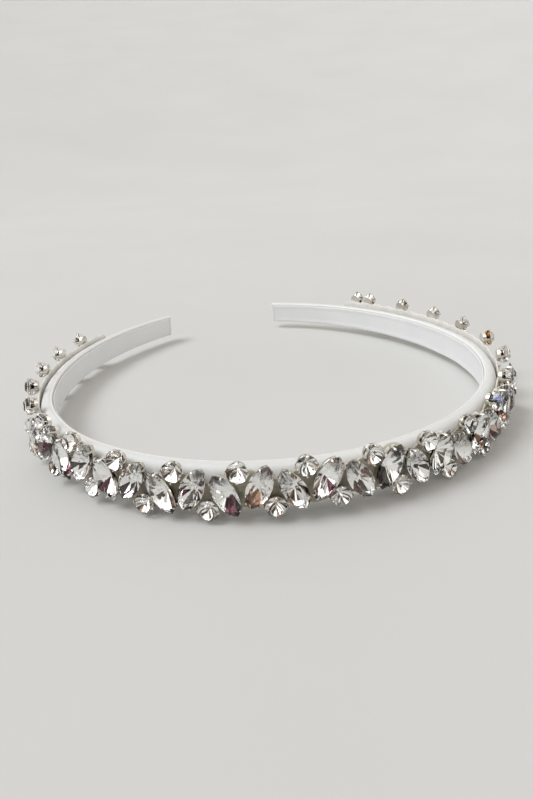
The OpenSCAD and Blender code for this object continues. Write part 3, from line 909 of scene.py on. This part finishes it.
def setting(outline, seat_z, feet, sides, slim=1.0):
    """A low cup with a rolled rim, and claws. Feet are the claws' shares of a turn."""
    wall, rim, inner = -WALL_INSET, WALL_H, -WALL_INSET - WALL_T
    profile = [(wall - 0.50, 0.0), (wall - 0.18, 0.03), (wall - 0.04, 0.14), (wall, 0.34),
               (wall, rim - 0.30), (wall + 0.04, rim - 0.14), (wall + 0.03, rim - 0.04),
               (wall - 0.06, rim), (inner + 0.06, rim - 0.02), (inner, rim - 0.12),
               (inner, FLOOR_T + 0.3), (inner - 0.25, FLOOR_T)]
    points = [(*outline(i / sides, grow), z) for grow, z in profile for i in range(sides)]
    shape = Shape()
    shape.add(points, tube_faces(len(profile), sides))
    for t in feet:
        foot = outline(t, STONE_GAP)
        tangent = outline(t + TANGENT_STEP, STONE_GAP) - outline(t - TANGENT_STEP, STONE_GAP)
        tangent /= np.linalg.norm(tangent)
        out = np.array([tangent[1], -tangent[0], 0.0])
        shape.add(*claw(np.array([*foot, 0.0]), out, np.array([*tangent, 0.0]), seat_z, slim))
    return shape


def make_settings():
    cup = setting(round_outline, ROUND_SEAT, ROUND_FEET, CUP_SIDES)
    pod = setting(navette_outline, NAVETTE_SEAT, NAVETTE_FEET, POD_SIDES, POD_SLIM)
    half, middle = NAVETTES // 2, GAP_FIRST + (GAP_LAST - GAP_FIRST + 1) // 2
    runs = [
        ("navette_settings_left", pod, navette_seat, range(half)),
        ("navette_settings_right", pod, navette_seat, range(half, NAVETTES)),
        ("round_settings_left", cup, gap_seat, range(GAP_FIRST, middle)),
        ("round_settings_right", cup, gap_seat, range(middle, GAP_LAST + 1)),
        ("arm_settings_left", cup, gap_seat, range(GAP_END_LEFT, GAP_FIRST)),
        ("arm_settings_right", cup, gap_seat, range(GAP_LAST + 1, GAP_END_RIGHT + 1)),
    ]
    for node, template, place_of, places in runs:
        shape = Shape()
        for k in places:
            shape.add_at(*place_of(k), template)
        shape.piece("claws_" + node, [SILVER], [node], "silver", smooth=40)


# Floor, light and camera, in metres

# Radius of the flat floor, radius and angle in degrees of the bend up from it, length of the slope,
# and radius and angle of the bend at its rim
FLOOR_R, BEND_R, SLOPE, SLOPE_LEN, RIM_R, RIM_SLOPE = 0.7, 1.5, 20, 1.6, 1.2, 60
FLOOR_STEPS, FLOOR_SIDES = 10, 96


def floor_material():
    m = material("paper")
    tone = m.noise(m.position(), 6, 3)
    grain = m.noise(m.position(), 900, 2)
    m.surface(
        Base_Color=m.mix(m.spread(tone, 0, 1), rgb(0.70, 0.70, 0.685), rgb(0.735, 0.73, 0.72)),
        Roughness=0.85,
        Normal=m.bump(grain, 0.00005, 0.3),
    )
    return m.owner


def make_stage():
    """A flat pale floor that rises gently into a wide dish all round."""
    slope, rim_slope = math.radians(SLOPE), math.radians(RIM_SLOPE)
    profile = []
    for i in range(FLOOR_STEPS + 1):
        t = slope * i / FLOOR_STEPS
        profile.append((FLOOR_R + BEND_R * math.sin(t), BEND_R * (1 - math.cos(t))))
    r, z = profile[-1]
    r += SLOPE_LEN * math.cos(slope)
    z += SLOPE_LEN * math.sin(slope)
    for i in range(FLOOR_STEPS + 1):
        t = slope + (rim_slope - slope) * i / FLOOR_STEPS
        profile.append((r + RIM_R * (math.sin(t) - math.sin(slope)),
                        z + RIM_R * (math.cos(slope) - math.cos(t))))
    turns = [2 * math.pi * i / FLOOR_SIDES for i in range(FLOOR_SIDES)]
    points = [(r * math.cos(a), r * math.sin(a), z) for r, z in profile for a in turns]
    faces = [face[::-1] for face in tube_faces(len(profile), FLOOR_SIDES, capped=False)]
    faces.append(tuple(range(FLOOR_SIDES)))
    mesh = bpy.data.meshes.new("floor")
    mesh.from_pydata(points, [], faces)
    mesh.materials.append(floor_material())
    mesh.shade_smooth()
    floor = bpy.data.objects.new("floor", mesh)
    bpy.context.scene.collection.objects.link(floor)


# What gloss and glass mirror: direction, half angle in degrees, colour and strength
REFLECTIONS = [
    ((-0.9, 0.1, 1.6), 24, (1.0, 0.99, 0.98), 2.8),
    ((0.7, -0.2, 0.9), 15, (1.0, 0.98, 0.95), 2.2),
    ((-0.8, -0.7, 0.7), 13, (1.0, 0.99, 0.97), 2.4),
    ((0.1, -1.0, 0.55), 13, (0.07, 0.06, 0.05), 1.0),
    ((0.9, -0.9, 0.4), 10, (0.12, 0.10, 0.08), 1.0),
    ((-1.0, -0.3, 0.3), 10, (0.14, 0.12, 0.10), 1.0),
    ((0.0, -0.5, 1.0), 14, (1.0, 1.0, 1.0), 3.0),
]
# Width in degrees of their soft edges
EDGE_BLUR = 2
# Patches of the room behind them: start on the patches' random scale, and brightness
PATCHES = [(0.0, 0.55), (0.2, 0.85), (0.45, 1.15), (0.85, 0.72)]


def make_world():
    """Even pale light for the surfaces, and a room of pale and dark patches for gloss and glass."""
    world = bpy.data.worlds.new("studio")
    bpy.context.scene.world = world
    w = Nodes(world)
    even = w.tree.nodes["Background"]
    w.put(even.inputs["Color"], rgb(1.0, 0.95, 0.885))
    w.put(even.inputs["Strength"], 0.55)

    direction = w.add("TexCoord").outputs["Generated"]
    cells = w.add("TexVoronoi", {"Vector": direction, "Scale": 3.2})
    ramp = w.add("ValToRGB", {"Fac": cells.outputs["Color"]})
    ramp.color_ramp.interpolation = "CONSTANT"
    while len(ramp.color_ramp.elements) < len(PATCHES):
        ramp.color_ramp.elements.new(1.0)
    for element, (start, value) in zip(ramp.color_ramp.elements, PATCHES):
        element.position = start
        element.color = rgb(value, value * 0.98, value * 0.94)
    colour = ramp.outputs["Color"]
    for axis, half, tint, strength in REFLECTIONS:
        ends = {0: direction, 1: Vector(axis).normalized()}
        near = w.add("VectorMath", ends, operation="DOT_PRODUCT").outputs["Value"]
        outside, inside = (math.cos(math.radians(a)) for a in (half + EDGE_BLUR, half))
        colour = w.mix(w.spread(near, 0, 1, outside, inside), colour,
                       rgb(*(c * strength for c in tint)))
    room = w.add("Background", {"Color": colour})
    ray = w.add("LightPath").outputs
    mirrored = w.calc("MAXIMUM", ray["Is Glossy Ray"], ray["Is Transmission Ray"])
    both = w.add("MixShader", {"Fac": mirrored, 1: even.outputs[0], 2: room.outputs[0]})
    w.put(w.tree.nodes["World Output"].inputs["Surface"], both.outputs[0])


def make_lights():
    """One soft light from above and from the left."""
    lamp = bpy.data.lights.new("window", "SUN")
    lamp.energy = 1.45
    lamp.angle = math.radians(30)
    lamp.color = (0.925, 0.965, 1.0)
    light = bpy.data.objects.new("window", lamp)
    towards = Vector((-1.05, 0.04, 1.5))
    light.rotation_euler = (-towards).to_track_quat("-Z", "Y").to_euler()
    bpy.context.scene.collection.objects.link(light)


def make_camera():
    """The photograph's view: place in metres, then pitch down, yaw to the right and roll."""
    position = (-0.04649, -0.18388, 0.08040)
    pitch, yaw, roll = (math.radians(a) for a in (23.49, 14.03, -3.53))
    focal_px, long_side_px, sensor = 601.2, 799, 36.0
    level = Vector((math.sin(yaw), math.cos(yaw), 0))
    ahead = level * math.cos(pitch) - Vector((0, 0, math.sin(pitch)))
    right = Vector((math.cos(yaw), -math.sin(yaw), 0))
    up = right.cross(ahead)
    x = math.cos(roll) * right + math.sin(roll) * up
    y = -math.sin(roll) * right + math.cos(roll) * up
    data = bpy.data.cameras.new("camera")
    data.sensor_width = sensor
    data.lens = focal_px / long_side_px * sensor
    data.clip_start = 0.005
    data.clip_end = 20
    camera = bpy.data.objects.new("camera", data)
    turn = Matrix((x, y, -ahead)).transposed().to_4x4()
    camera.matrix_world = Matrix.Translation(position) @ turn
    bpy.context.scene.collection.objects.link(camera)
    bpy.context.scene.camera = camera
    bpy.context.scene.view_settings.view_transform = "Standard"


make_camera()
make_world()
make_lights()
make_stage()
make_band()
make_lining()
make_backing()
make_settings()
make_stones()
